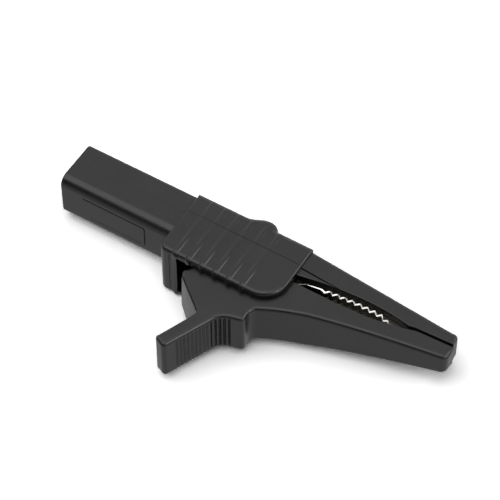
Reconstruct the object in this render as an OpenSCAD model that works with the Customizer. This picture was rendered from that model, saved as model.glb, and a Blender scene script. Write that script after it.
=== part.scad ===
// Fully insulated crocodile clip with a socket for a 4 mm test-lead plug.
// It lies on its flank: X runs from the handle to the jaw tips, the trigger points to -Y,
// and the pivot stands along Z. The origin is the mouth of the plug socket, on its axis.

/* [Handle] */
// Width and thickness of the square handle tube
tube_size = 14.5; // [14:0.1:16]
// Corner radius of the handle tube
tube_corner_r = 1.8; // [1:0.1:3]
// Length of the bare tube, from its rear face to the saddle
tube_len = 35.6; // [34:0.1:45]
// Rounding of the rim at the rear face
rim_r = 0.5; // [0.3:0.1:1.4]
// Depth of the shallow recess on the handle's trigger side
panel_depth = 0.25; // [0.1:0.05:0.5]

/* [Saddle] */
// Length of the ribbed saddle along the clip
saddle_len = 35.5; // [34:0.1:42]
// Thickness across both cheeks
saddle_thick = 18.2; // [17.6:0.1:20]
// Reach of the cheeks from the socket axis towards the trigger
cheek_drop = 13.4; // [12.5:0.1:15]
// Thickness of one cheek
cheek_wall = 1.9; // [1.5:0.1:2.2]
// Length of the heel that joins the cheeks behind the trigger
heel_len = 5.6; // [5.4:0.1:7]
// Height of the finger stop above the saddle's back
hump_h = 2; // [0.8:0.1:2.8]
// Number of grip ribs on each cheek
rib_count = 6; // [3:1:6]
// Distance between grip ribs
rib_pitch = 4.35; // [3.5:0.05:4.6]
// Height of a grip rib
rib_h = 0.4; // [0.2:0.05:0.6]

/* [Jaws] */
// Length of the jaws in front of the saddle
jaw_len = 44.5; // [42:0.1:55]
// Thickness of the jaws at the tip
tip_thick = 8; // [7.4:0.1:9]
// Thickness of the fixed jaw where it leaves the saddle
fixed_jaw_thick = 16.2; // [15:0.1:17]
// Width of the channel in the jaws, between the cheeks
channel_w = 9.9; // [9.6:0.1:10.4]
// Width of the channel at the tip
channel_tip_w = 5; // [4.8:0.1:5.6]
// Thickness of a jaw's outer wall
jaw_wall = 2; // [1.6:0.1:2.2]
// Length of the finger lever beyond the trigger's rear wall
fin_len = 12.4; // [9:0.1:18]
// Thickness of the finger lever
fin_thick = 3.5; // [3.2:0.1:5]
// Lean of the finger lever towards the handle, in degrees
fin_lean = 23; // [15:0.5:28]

/* [Contacts] */
// Thickness of the contact sheet
sheet = 0.9; // [0.7:0.05:1]
// Distance between teeth
tooth_pitch = 2.25; // [1.8:0.05:3]
// Depth of the teeth
tooth_depth = 1.05; // [0.7:0.05:1.2]

/* [Pivot] */
// Diameter of the pivot pin
pin_d = 3; // [2.6:0.1:3.4]
// Wire diameter of the closing spring
wire_d = 0.9; // [0.7:0.05:1]

/* [Plug socket] */
// Bore of the plug socket
socket_bore = 4; // [3.9:0.05:4.1]
// Outside diameter of the plug socket
socket_od = 5.6; // [5.2:0.1:6]
// Depth of the plug socket's bore
socket_depth = 21; // [18:0.5:23]
// Distance of the socket's mouth inside the rear face
socket_recess = 2.6; // [2:0.1:4]
// Bore of the insulating liner, which takes a shrouded plug
shroud_bore = 8.6; // [8:0.1:9]

/* [Hidden] */
$fn = 48;
black = [0.16, 0.16, 0.16];
nickel = [0.78, 0.77, 0.74];
steel = [0.6, 0.6, 0.62];
brass = [0.8, 0.68, 0.4];
grey = [0.2, 0.2, 0.21];
white = [0.9, 0.9, 0.88];

// Clearances
seat_gap = 0.1;
swing_gap = 0.2;
press_gap = 0.02;
run_gap = 0.05;
over = 1;
far = 100;

// Heights across the clip, as half thicknesses
saddle_half = saddle_thick / 2;
cheek_in = saddle_half - cheek_wall;
trigger_half = cheek_in - swing_gap;
tip_half = tip_thick / 2;
fixed_half = fixed_jaw_thick / 2;
channel_half = channel_w / 2;
channel_tip_half = channel_tip_w / 2;

// Places along X, from the rear face
heel_x = tube_len + heel_len;
front_x = tube_len + saddle_len;
tip_x = front_x + jaw_len;
moving_reach = 0.5;
moving_root = 8;
moving_side = 0.4;
moving_tip_x = tip_x + moving_reach;
tip_wall = 1.9;
contact_end_x = tip_x - tip_wall - seat_gap;

// Places along Y, from the socket axis
tube_half = tube_size / 2;
back_step = 0.35;
jaw_step = 0.5;
back_y = tube_half + back_step;
joint_y = 0.6;
jaw_back_root = back_y - jaw_step;
jaw_back_tip = 6.05;
jaw_edge_y = 0.8;
closure_slope = 0.104;
closure_tip_y = 2.2;
lip_gap = 0.45;

// Pivot, placed by the saddle's front edge
pivot_set_back = 7.1;
pivot_y = -6.2;
pivot = [front_x - pivot_set_back, pivot_y];
boss_r = 6.4;
ear_r = 4.4;

// Stack along Z at the pivot, from the contacts' outer faces inwards
fixed_ear_out = channel_half - seat_gap * 2;
washer_t = 0.3;
washer_gap = 0.05;
moving_ear_out = fixed_ear_out - sheet - washer_t - 2 * washer_gap;
spool_half = moving_ear_out - sheet - washer_gap;

function closure_y(x) = closure_tip_y + closure_slope * (x - tip_x);
function jaw_back_y(x) = jaw_back_root + (jaw_back_tip - jaw_back_root) * (x - front_x) / jaw_len;
function arc(c, r, from, to, n = 10) = [for (i = [0:n]) let (w = from + (to - from) * i / n)
    c + r * [cos(w), sin(w)]];
function cubic(p, t) = let (s = 1 - t)
    s * s * s * p[0] + 3 * s * s * t * p[1] + 3 * s * t * t * p[2] + t * t * t * p[3];
function cubic_slope(p, t) = let (s = 1 - t,
    d = s * s * (p[1] - p[0]) + 2 * s * t * (p[2] - p[1]) + t * t * (p[3] - p[2])) atan2(d.y, d.x);
function bezier(p, n = 12) = [for (i = [0:n]) cubic(p, i / n)];
function backwards(list) = [for (i = [len(list) - 1:-1:0]) list[i]];
function unit(v) = v / norm(v);

// The arc that rounds corner b between its neighbours a and c
function corner_arc(a, b, c, r, n = 5) = let (
    u = unit(a - b), v = unit(c - b),
    half = acos(u * v) / 2,
    centre = b + unit(u + v) * r / sin(half),
    p = b + u * r / tan(half) - centre,
    q = b + v * r / tan(half) - centre,
    start = atan2(p.y, p.x),
    turn = atan2(p.x * q.y - p.y * q.x, p * q))
    arc(centre, r, start, start + turn, n);

// A closed outline from corners [x, y, radius], and plain points [x, y]
function rounded(corners) = let (n = len(corners), at = [for (k = corners) [k.x, k.y]])
    [for (i = [0:n - 1]) each (len(corners[i]) < 3 || corners[i][2] == 0 ? [at[i]]
        : corner_arc(at[(i + n - 1) % n], at[i], at[(i + 1) % n], corners[i][2]))];

// Prisms along each axis: the drawing's two axes are Y and Z, X and Z, or X and Y
module x_prism(x0, x1) { translate([x0, 0, 0]) rotate([90, 0, 90]) linear_extrude(x1 - x0) children(); }
module y_prism() { rotate([90, 0, 0]) linear_extrude(2 * far, center = true) children(); }
module z_prism(half) { linear_extrude(2 * half, center = true) children(); }
module x_turned() { rotate([90, 0, 90]) rotate_extrude() children(); }
module both_sides() { children(); mirror([0, 0, 1]) children(); }
module place() { translate([-socket_recess, 0, 0]) children(); }

// Outlines in X and Z that narrow from the saddle to the tip
module taper(root_x, root_half, tip_half_width, end_x, from_x = front_x) {
    end_half = root_half + (tip_half_width - root_half) * (end_x - from_x) / (tip_x - from_x);
    polygon([[root_x, -root_half], [from_x, -root_half], [end_x, -end_half],
        [end_x, end_half], [from_x, root_half], [root_x, root_half]]);
}

// Body of the clip: tube, saddle and fixed jaw, later parted along the joint line
rib_first = 4.5;
rib_w = 1.7;
rib_top_w = 0.9;
rib_back_y = 5.4;
rib_root = 0.5;
hump_x = 21.2;
hump_r = 3.2;
ramp_len = 7;
ramp_lead = [3, 3];
hump_side = 0.2;
saddle_back_r = 2;
cheek_edge_r = 0.9;
saddle_edge_r = 0.7;
cheek_corner_r = 7.2;
heel_corner_r = 1.2;

module tube_outer() {
    h = tube_half;
    end_x = heel_x - over;
    rim = [[0, -h, rim_r], [end_x, -h], [end_x, h], [0, h, rim_r]];
    r = tube_corner_r;
    intersection() {
        x_prism(0, end_x) polygon(rounded([[-h, -h, r], [h, -h, r], [h, h, r], [-h, h, r]]));
        z_prism(far) polygon(rounded(rim));
        y_prism() polygon(rounded(rim));
    }
}

module saddle_outer(grow = 0) {
    low = -cheek_drop - grow;
    half = saddle_half + grow;
    top = back_y;
    intersection() {
        z_prism(half) polygon(rounded([[tube_len, low, heel_corner_r], [front_x, low, cheek_corner_r + grow],
            [front_x, top, heel_corner_r], [tube_len, top, saddle_edge_r]]));
        x_prism(tube_len, front_x) polygon(rounded([[low, -half, cheek_edge_r], [top, -half, saddle_back_r],
            [top, half, saddle_back_r], [low, half, cheek_edge_r]]));
        y_prism() polygon(rounded([[tube_len, -half, saddle_edge_r], [front_x, -half, saddle_edge_r],
            [front_x, half, saddle_edge_r], [tube_len, half, saddle_edge_r]]));
    }
}

// The finger stop is the crown of a round-edged roller let into the saddle's back, with a ramp behind it
module finger_stop() {
    half = saddle_half - hump_side;
    x = tube_len + hump_x;
    top = back_y + hump_h;
    translate([x, top - hump_r, 0]) rotate_extrude()
        polygon(rounded([[0, -half], [hump_r, -half, saddle_back_r],
            [hump_r, half, saddle_back_r], [0, half]]));
    foot = x - ramp_len;
    z_prism(saddle_half - saddle_back_r) polygon(concat([[x, back_y - over], [foot, back_y - over]],
        bezier([[foot, back_y], [foot + ramp_lead[0], back_y], [x - ramp_lead[1], top], [x, top]])));
}

module grip_ribs() {
    intersection() {
        saddle_outer(rib_h);
        both_sides() for (i = [0:rib_count - 1]) {
            x = tube_len + rib_first + rib_pitch * i;
            z0 = saddle_half - rib_root;
            z1 = saddle_half + rib_h;
            translate([0, rib_back_y, 0]) rotate([90, 0, 0]) linear_extrude(far)
                polygon([[x - rib_w / 2, z0], [x + rib_w / 2, z0],
                    [x + rib_top_w / 2, z1], [x - rib_top_w / 2, z1]]);
        }
    }
}

// A block with one long round edge, laid along the fixed jaw's back edge
jaw_edge_r = 1.5;
jaw_tip_r = 1.5;
mouth_tip_r = 0.4;
module jaw_edge_block() {
    lean = atan((fixed_half - tip_half) / jaw_len);
    slope = atan((jaw_back_root - jaw_back_tip) / jaw_len);
    translate([front_x, jaw_back_root, fixed_half]) rotate([0, lean, -slope])
        x_prism(-far, far) polygon(rounded([[0, 0, jaw_edge_r], [-far, 0], [-far, -far], [0, -far]]));
}

mouth_lead = 12;
mouth_close = 10.1;
jaw_root = 5;
edge_lead = [6.4, 8.7];
edge_rise = [0.6, 1.4];
beak_back = [2.3, 0.7];
beak_dip = 0.55;
mouth_start = front_x + mouth_lead;
mouth_end = tip_x - mouth_close;
jaw_root_x = front_x - jaw_root;
beak = [mouth_end - beak_back.x, closure_y(mouth_end) + lip_gap - beak_dip];
beak_x = mouth_end - beak_back.y;
mouth_edge = [[mouth_start, jaw_edge_y], [mouth_start + edge_lead.x, jaw_edge_y + edge_rise.x],
    [beak.x - edge_lead.y, jaw_edge_y + edge_rise.y], beak];

module fixed_jaw_outer() {
    intersection() {
        z_prism(saddle_half) polygon(rounded(concat([[jaw_root_x, jaw_edge_y]], bezier(mouth_edge),
            [[beak_x, closure_y(beak_x) + lip_gap], [tip_x, closure_y(tip_x) + lip_gap, mouth_tip_r],
                [tip_x, jaw_back_tip, jaw_tip_r],
                [jaw_root_x, jaw_back_y(jaw_root_x)]])));
        jaw_edge_block();
        mirror([0, 0, 1]) jaw_edge_block();
    }
}

module jaw_channel() {
    x0 = jaw_root_x - over;
    x1 = tip_x - tip_wall;
    intersection() {
        z_prism(far) polygon([[x0, -far], [x1, -far], [x1, jaw_back_y(x1) - jaw_wall],
            [x0, jaw_back_y(x0) - jaw_wall]]);
        y_prism() taper(x0, channel_half, channel_tip_half, x1);
    }
}

// The tongues carry the joint line on beside the jaw's root
tongue_root = 1.7;
tongue_side = 0.9;
tongue_step = 0.2;
tongue_rise = 1.2;
tongue_low = -2.2;
tongue_lead = 4;
module tongues() {
    x0 = front_x - tongue_root;
    x1 = mouth_start + over;
    z0 = channel_half + swing_gap;
    z1 = fixed_half - tongue_step;
    z2 = z1 + (tip_half - fixed_half) * (x1 - front_x) / jaw_len;
    both_sides() intersection() {
        z_prism(far) polygon(concat(bezier([[x0, tongue_low],
            [front_x + tongue_lead, tongue_low + tongue_rise],
            [mouth_start - tongue_lead, joint_y - swing_gap], [mouth_start, joint_y]]), [[x0, joint_y]]));
        y_prism() polygon([[x0, z0], [x1, z0 - tongue_side], [x1, z2],
            [front_x, z1], [front_x, saddle_half - saddle_edge_r], [x0, saddle_half - saddle_edge_r]]);
    }
}

// Inside of the body: the liner's seat, the chamber of the socket's nut, and the gap between the cheeks
liner_od = shroud_bore + 2.4;
flange_d = liner_od + 1.2;
flange_t = 2;
flange_x = tube_len - 4;
chamber_half = 4.8;
heel_wall = 2;
heel_core_r = 0.8;

module body_inside() {
    bore = liner_od / 2 + seat_gap;
    flange_bore = flange_d / 2 + seat_gap;
    flange_end = flange_x + flange_t + seat_gap;
    roof = back_y - jaw_wall;
    core_x = tube_len + heel_wall;
    core_low = heel_wall - cheek_drop;
    core_high = -chamber_half - heel_wall;
    x_turned() polygon([[0, -over], [bore, -over], [bore, flange_x - seat_gap],
        [flange_bore, flange_x - seat_gap], [flange_bore, flange_end], [0, flange_end]]);
    z_prism(chamber_half) polygon([[flange_x + flange_t, -chamber_half], [heel_x + over, -chamber_half],
        [heel_x + over, roof], [flange_x + flange_t, roof]]);
    z_prism(cheek_in) polygon([[heel_x, -far], [front_x + over, -far],
        [front_x + over, roof], [heel_x, roof]]);
    z_prism(cheek_in - heel_wall / 2) polygon(rounded([[core_x, core_low, heel_core_r],
        [heel_x + over, core_low], [heel_x + over, core_high], [core_x, core_high, heel_core_r]]));
}

panel_x0 = 7;
panel_x1 = tube_len - 8.4;
panel_half = 3.6;
panel_r = 0.6;
module panel_recess() {
    translate([0, panel_depth - tube_half, 0]) rotate([90, 0, 0]) linear_extrude(over + panel_depth)
        polygon(rounded([[panel_x0, -panel_half, panel_r], [panel_x1, -panel_half, panel_r],
            [panel_x1, panel_half, panel_r], [panel_x0, panel_half, panel_r]]));
}

heel_line = 0.6;
heel_line_x = 3;
heel_line_depth = 0.8;
module heel_groove() {
    translate([tube_len + heel_line_x, -cheek_drop - over, -far])
        cube([heel_line, over + heel_line_depth, 2 * far]);
}

module body() {
    difference() {
        union() {
            tube_outer();
            saddle_outer();
            finger_stop();
            grip_ribs();
        }
        body_inside();
        panel_recess();
        heel_groove();
    }
    difference() {
        fixed_jaw_outer();
        jaw_channel();
    }
}

module half_space(side) {
    translate([-far, side > 0 ? joint_y : joint_y - 2 * far, -far]) cube([4 * far, 2 * far, 2 * far]);
}

// Pegs that line up the two shells, in the tube's side walls
peg_r = 0.5;
peg_len = 1.4;
peg_end = 4;
module pegs(gap = 0) {
    wall_mid = (tube_half + liner_od / 2 + seat_gap) / 2;
    both_sides() for (x = [rim_r + peg_end, flange_x - peg_end])
        translate([x, joint_y + over, wall_mid]) rotate([90, 0, 0])
            cylinder(r = peg_r + gap, h = peg_len + over + gap);
}

fixed_stake_places = [0.2, 0.55];
module fixed_stakes(gap = 0) {
    slope = atan((jaw_back_root - jaw_back_tip) / jaw_len);
    for (t = fixed_stake_places) let (x = front_x + t * jaw_len) translate([x, jaw_back_y(x) - jaw_wall, 0])
        rotate([0, 0, -slope]) mirror([0, 1, 0]) stake(gap);
}

module spine_shell() {
    color(black) {
        intersection() {
            body();
            half_space(1);
        }
        pegs();
        fixed_stakes();
    }
}

module cheek_shell() {
    color(black) difference() {
        union() {
            intersection() {
                body();
                half_space(-1);
            }
            tongues();
        }
        pegs(seat_gap / 2);
    }
}

// Plug socket and its liner
liner_set_back = 0.3;
bulkhead_t = 3.2;
shank_d = 4.8;
thread_d = 3;
washer_od = 6;
lock_t = 0.8;
nut_af = 5.5;
nut_t = 2.4;
guard_len = 1.4;
guard_gap = 0.35;
end_chamfer = 0.4;
liner_end = flange_x + flange_t;
tab_x = liner_end + washer_gap;
nut_x = tab_x + sheet + lock_t + 2 * washer_gap;
thread_end = nut_x + nut_t + end_chamfer;

module socket_liner() {
    color(grey) x_turned() polygon([[shroud_bore / 2, liner_set_back], [liner_od / 2, liner_set_back],
        [liner_od / 2, flange_x], [flange_d / 2, flange_x], [flange_d / 2, liner_end],
        [shank_d / 2 + press_gap, liner_end], [shank_d / 2 + press_gap, liner_end - bulkhead_t],
        [shroud_bore / 2, liner_end - bulkhead_t]]);
}

module plug_socket() {
    bore_end = socket_recess + socket_depth;
    shoulder = liner_end - bulkhead_t;
    color(brass) x_turned() polygon([[socket_bore / 2, socket_recess], [socket_od / 2, socket_recess],
        [socket_od / 2, shoulder], [shank_d / 2, shoulder], [shank_d / 2, liner_end],
        [thread_d / 2, liner_end], [thread_d / 2, thread_end - end_chamfer],
        [thread_d / 2 - end_chamfer, thread_end], [0, thread_end],
        [0, bore_end + socket_bore / 2], [socket_bore / 2, bore_end]]);
}

module socket_guard() {
    bore_r = socket_bore / 2 + guard_gap;
    r = socket_od / 2;
    mouth = socket_recess - guard_len;
    color(black) x_turned() polygon([[bore_r, mouth], [r - end_chamfer, mouth], [r, mouth + end_chamfer],
        [r, socket_recess], [bore_r, socket_recess]]);
}

module lock_washer() {
    color(steel) translate([tab_x + sheet + washer_gap, 0, 0]) rotate([0, 90, 0]) difference() {
        cylinder(d = washer_od, h = lock_t);
        translate([0, 0, -over]) cylinder(r = thread_d / 2 + seat_gap, h = lock_t + 2 * over);
    }
}

module socket_nut() {
    color(nickel) translate([nut_x, 0, 0]) rotate([0, 90, 0]) difference() {
        cylinder(d = nut_af / cos(30), h = nut_t, $fn = 6);
        translate([0, 0, -over]) cylinder(r = thread_d / 2 + press_gap, h = nut_t + 2 * over);
    }
}

// Toothed contacts: both rows follow one zigzag, so the moving teeth stand between the fixed ones
// and leave an even gap along the mouth
tooth_start = 6.1;
first_tooth_x = front_x + tooth_start;
tooth_slope = 0.08;
tooth_root_y = 0.35;
tooth_gap = 0.3;
row_lead = 4;
tooth_count = floor((contact_end_x - first_tooth_x) / tooth_pitch);
function tooth_line(x) = tooth_root_y + tooth_slope * (x - first_tooth_x);
function tooth_row(drop) = let (x0 = first_tooth_x - row_lead, edge = drop + tooth_depth) concat(
    [[x0, tooth_line(x0) - edge]],
    [for (i = [0:tooth_count - 1], k = [0, 1]) let (x = first_tooth_x + tooth_pitch * (i + k / 2))
        [x, tooth_line(x) - tooth_depth * k - drop]]);

// A sheet wall in X and Z that stays parallel beside the pivot and narrows to the tip
module wall_strip(out, tip_out) {
    x0 = tube_len;
    polygon([[x0, out - sheet], [front_x, out - sheet], [tip_x, tip_out - sheet], [tip_x, tip_out],
        [front_x, out], [x0, out]]);
}

fixed_tip_out = channel_tip_half - seat_gap * 2;
moving_tip_out = fixed_tip_out - sheet - washer_t;
tail_half = 3.6;
tail_end = 1.6;
tail_flare = 3;
bend_back = 4;

// Moulded stakes that hold a contact's web on the wall behind it, drawn along +Y from the web's seat
stake_r = 0.9;
stake_head_r = 1.4;
stake_head_t = 0.5;
module stake(gap = 0) {
    head = seat_gap + sheet + washer_gap;
    rotate([-90, 0, 0]) {
        translate([0, 0, -over]) cylinder(r = stake_r + gap, h = over + head + washer_gap);
        if (gap == 0) translate([0, 0, head]) cylinder(r = stake_head_r, h = stake_head_t);
    }
}

// The underside of the fixed jaw's back wall, where the contact's web lies
function web_y(x) = jaw_back_y(max(x, front_x - bend_back)) - jaw_wall - seat_gap;

module fixed_jaw_contact() {
    x0 = heel_x + tail_end;
    x1 = contact_end_x;
    bend_x = front_x - bend_back;
    web_root = web_y(bend_x);
    web_tip = web_y(x1);
    ear = arc(pivot, ear_r, 20, -180, 16);
    flare_x = x0 + tail_flare;
    color(nickel) difference() {
        union() {
            both_sides() intersection() {
                z_prism(far) polygon(concat([[x1, web_tip], [x1, closure_y(x1) + lip_gap + seat_gap]],
                    backwards(tooth_row(0)), ear, [[pivot.x - ear_r, web_root]]));
                y_prism() wall_strip(fixed_ear_out, fixed_tip_out);
            }
            intersection() {
                z_prism(far) polygon([[tab_x, web_root - sheet], [bend_x, web_root - sheet],
                    [x1, web_tip - sheet], [x1, web_tip], [bend_x, web_root], [tab_x, web_root]]);
                y_prism() polygon([[tab_x, -tail_half], [x0, -tail_half], [flare_x, -fixed_ear_out],
                    [front_x, -fixed_ear_out], [tip_x, -fixed_tip_out], [tip_x, fixed_tip_out],
                    [front_x, fixed_ear_out], [flare_x, fixed_ear_out], [x0, tail_half], [tab_x, tail_half]]);
            }
            translate([tab_x, -tail_half, -tail_half]) cube([sheet, tail_half + web_root, 2 * tail_half]);
        }
        translate([pivot.x, pivot.y, -far]) cylinder(r = pin_d / 2 + press_gap, h = 2 * far);
        translate([tab_x - over, 0, 0]) rotate([0, 90, 0])
            cylinder(r = thread_d / 2 + seat_gap, h = sheet + 2 * over);
        fixed_stakes(press_gap);
    }
}

// Trigger and moving jaw: corners of the outline, placed by their offsets from the pivot
wall_start_at = [5, -9.2];
fin_root_at = [-9, -19.8];
scoop_at = [-3.6, -16.5];
ridge_at = [2.5, -14.8];
step_at = [2.3, -10.4];
rear_corner_at = [-19.7, -9.6];
rear_top_at = [-14.7, -1.8];
wall_lead = [9, 4.9];
tip_lead = [-18, -3.8];
tip_low_y = -2.05;
scoop_r = 5.5;
rear_r = 1.5;
fin_end_r = 1.2;
fin_back_r = 0.9;
ridge_r = 1;
step_r = 1.8;
tip_low_r = 2;
wall_start = pivot + wall_start_at;
fin_root = pivot + fin_root_at;
fin_dir = [-sin(fin_lean), -cos(fin_lean)];
fin_side = [cos(fin_lean), -sin(fin_lean)];
scoop_corner = pivot + scoop_at;
ridge = pivot + ridge_at;
step_corner = pivot + step_at;
rear_corner = pivot + rear_corner_at;
rear_top = pivot + rear_top_at;
fin_end = fin_thick * 0.92;
tip_low = [moving_tip_x, tip_low_y];
near_wall = [wall_start, wall_start + wall_lead, tip_low + tip_lead, tip_low];
function corner(p, r) = [p.x, p.y, r];
fin_in = fin_root + fin_len * fin_dir;
fin_out = fin_in + fin_end * fin_side;
moving_lip_y = -3.5;
lip_lead = [8, 4.9];
lip_dip = [3, 0.6];
moving_mouth = [[mouth_end, closure_y(mouth_end)],
    [mouth_end - lip_lead.x, closure_y(mouth_end) - lip_dip.x],
    [mouth_start + lip_lead.y, moving_lip_y - lip_dip.y], [front_x + swing_gap, moving_lip_y]];

function trigger_outline() = let (near_points = bezier(near_wall))
    rounded(concat([[moving_tip_x, closure_y(moving_tip_x), mouth_tip_r]], bezier(moving_mouth),
        arc(pivot, boss_r, 35, 120),
        [corner(rear_top, rear_r), corner(rear_corner, rear_r), corner(fin_root, rear_r),
            corner(fin_in, fin_back_r), corner(fin_out, fin_end_r), corner(scoop_corner, scoop_r),
            corner(ridge, ridge_r), corner(step_corner, step_r)],
        [for (i = [0:len(near_points) - 2]) near_points[i]], [corner(tip_low, tip_low_r)]));

// The core of the trigger's rear wall stands out between its two flank plates
rear_step = 0.8;
rear_rim = 1;
rear_dir = unit(fin_root - rear_corner);
rear_out = [rear_dir.y, -rear_dir.x];
module rear_core() {
    start = rear_corner + rear_dir * rear_r;
    end = fin_root + fin_dir * rear_step / (fin_dir * rear_out);
    z_prism(trigger_half - rear_rim) polygon(rounded([corner(start + rear_out * rear_step, rear_step / 2),
        end, fin_root - rear_out, start - rear_out]));
}

// The jaw's floor, inside its outer wall
floor_curve = [for (p = near_wall) p + [0, jaw_wall * 1.1]];
ledge_at = [-16.2, -6.6];
ledge_len = 5.7;
boss_floor_at = [0.5, -9];
web_low_at = [-7.5, -11.2];
rear_wall_at = [-12, -1];
ledge = pivot + ledge_at;

module trigger_inside() {
    x1 = tip_x - tip_wall;
    floor_points = bezier(floor_curve);
    intersection() {
        z_prism(far) polygon(concat([[tip_x, far]], backwards(floor_points),
            [pivot + boss_floor_at, pivot + web_low_at, ledge + [ledge_len, 0], ledge,
                pivot + rear_wall_at, [pivot.x + rear_wall_at.x, far]]));
        y_prism() taper(0, channel_half, channel_tip_half, x1);
    }
}

// Grip grooves along the lever's outer face and round its scoop
groove_r = 0.45;
groove_pitch = 1.18;
groove_margin = 1.2;
scoop_lead = 2.6;
groove_count = floor(fin_len / groove_pitch);
module grip_grooves() {
    half = trigger_half - groove_margin;
    face = unit(scoop_corner - fin_out);
    reach = norm(scoop_corner - fin_out) - scoop_lead;
    scoop = corner_arc(fin_out, scoop_corner, ridge, scoop_r, 4);
    centres = concat([for (i = [1:groove_count - 1]) fin_out + face * (reach - groove_pitch * i)], scoop);
    for (c = centres) translate([c.x, c.y, -half]) cylinder(r = groove_r, h = 2 * half, $fn = 24);
}

moving_stake_places = [0.22, 0.5];
module moving_stakes(gap = 0) {
    for (t = moving_stake_places) translate(concat(cubic(floor_curve, t), 0))
        rotate([0, 0, cubic_slope(floor_curve, t)]) stake(gap);
}

module trigger_jaw() {
    color(black) {
        difference() {
            union() {
                intersection() {
                    z_prism(trigger_half) polygon(trigger_outline());
                    y_prism() taper(0, trigger_half, tip_half - moving_side, moving_tip_x + over,
                        front_x + moving_root);
                }
                rear_core();
            }
            trigger_inside();
            grip_grooves();
            translate([pivot.x, pivot.y, -far]) cylinder(r = pin_d / 2 + run_gap, h = 2 * far);
        }
        moving_stakes();
    }
}

module moving_jaw_contact() {
    floor_points = [for (p = bezier(floor_curve)) if (p.x < contact_end_x - 1) p + [0, seat_gap]];
    x1 = contact_end_x;
    last = floor_points[len(floor_points) - 1];
    end = last + [x1 - last.x, (x1 - last.x) * tan(cubic_slope(floor_curve, 1))];
    base = concat(floor_points, [end]);
    color(nickel) difference() {
        union() {
            both_sides() intersection() {
                z_prism(far) polygon(concat(base, [[x1, closure_y(x1) - tooth_gap]],
                    backwards(tooth_row(tooth_gap)), arc(pivot, ear_r, 55, 290, 16)));
                y_prism() wall_strip(moving_ear_out, moving_tip_out);
            }
            intersection() {
                z_prism(far) polygon(concat(base, [for (p = backwards(base)) p + [0, sheet]]));
                y_prism() taper(tube_len, moving_ear_out, moving_tip_out, tip_x);
            }
        }
        translate([pivot.x, pivot.y, -far]) cylinder(r = pin_d / 2 + run_gap, h = 2 * far);
        moving_stakes(press_gap);
    }
}

// Pivot
pin_half = trigger_half - run_gap;
pin_chamfer = 0.3;
spool_r = 2.4;
washer_r = 3.4;
module pivot_pin() {
    r = pin_d / 2;
    color(steel) translate([pivot.x, pivot.y, 0]) rotate_extrude()
        polygon([[0, -pin_half], [r - pin_chamfer, -pin_half], [r, pin_chamfer - pin_half],
            [r, pin_half - pin_chamfer], [r - pin_chamfer, pin_half], [0, pin_half]]);
}

module pivot_spool() {
    color(white) translate([pivot.x, pivot.y, -spool_half]) difference() {
        cylinder(r = spool_r, h = 2 * spool_half);
        translate([0, 0, -over]) cylinder(r = pin_d / 2 + run_gap, h = 2 * (spool_half + over));
    }
}

module contact_washers() {
    color(steel) both_sides() translate([pivot.x, pivot.y, moving_ear_out + washer_gap]) difference() {
        cylinder(r = washer_r, h = washer_t);
        translate([0, 0, -over]) cylinder(r = pin_d / 2 + run_gap, h = washer_t + 2 * over);
    }
}

// Torsion spring: one leg under the fixed contact's web, the coil round the spool,
// and one leg on the trigger's ledge
spring_r = spool_r + swing_gap + wire_d / 2;
spring_half = spool_half - wire_d / 2 - seat_gap;
spring_turns = 3;
leg_reach = 12;
ledge_reach = 2;
turn_steps = 16;
wire_sides = 8;

// The angle at which a line from point e touches the coil, on the given side
function touch(e, side) = atan2(e.y, e.x) + side * acos(spring_r / norm(e));
function lift(p, z) = [p.x, p.y, z];
function spring_path() = let (
    end_a = [-leg_reach, web_y(0) - sheet - washer_gap - wire_d / 2 - pivot.y],
    end_b = [ledge.x + ledge_reach - pivot.x, ledge.y + washer_gap + wire_d / 2 - pivot.y],
    a = touch(end_a, -1),
    b = touch(end_b, 1) - 360 * (spring_turns + 1),
    n = ceil((a - b) / 360 * turn_steps))
    concat([lift(end_a, spring_half)],
        [for (i = [0:n]) let (w = a + (b - a) * i / n)
            [spring_r * cos(w), spring_r * sin(w), spring_half * (1 - 2 * i / n)]],
        [lift(end_b, -spring_half)]);

module wire(path, r) {
    n = len(path);
    rings = [for (i = [0:n - 1]) let (
        along = unit(path[min(i + 1, n - 1)] - path[max(i - 1, 0)]),
        side = unit(cross(along, [0, 0, 1])),
        up = cross(side, along))
        each [for (k = [0:wire_sides - 1]) let (w = 360 * k / wire_sides)
            path[i] + r * (side * cos(w) + up * sin(w))]];
    skin = [for (i = [0:n - 2], k = [0:wire_sides - 1]) let (j = (k + 1) % wire_sides)
        [i * wire_sides + k, i * wire_sides + j, (i + 1) * wire_sides + j, (i + 1) * wire_sides + k]];
    first = [for (k = [wire_sides - 1:-1:0]) k];
    last = [for (k = [0:wire_sides - 1]) (n - 1) * wire_sides + k];
    polyhedron(rings, concat(skin, [first, last]));
}

module torsion_spring() {
    color(steel) translate([pivot.x, pivot.y, 0]) wire(spring_path(), wire_d / 2);
}

place() spine_shell();
place() cheek_shell();
place() socket_liner();
place() plug_socket();
place() socket_guard();
place() lock_washer();
place() socket_nut();
place() fixed_jaw_contact();
place() pivot_pin();
place() pivot_spool();
place() contact_washers();
place() torsion_spring();
place() trigger_jaw();
place() moving_jaw_contact();
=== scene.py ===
import math

import bmesh
import bpy
import numpy as np
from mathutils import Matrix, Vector
from mathutils.geometry import delaunay_2d_cdt


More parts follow.
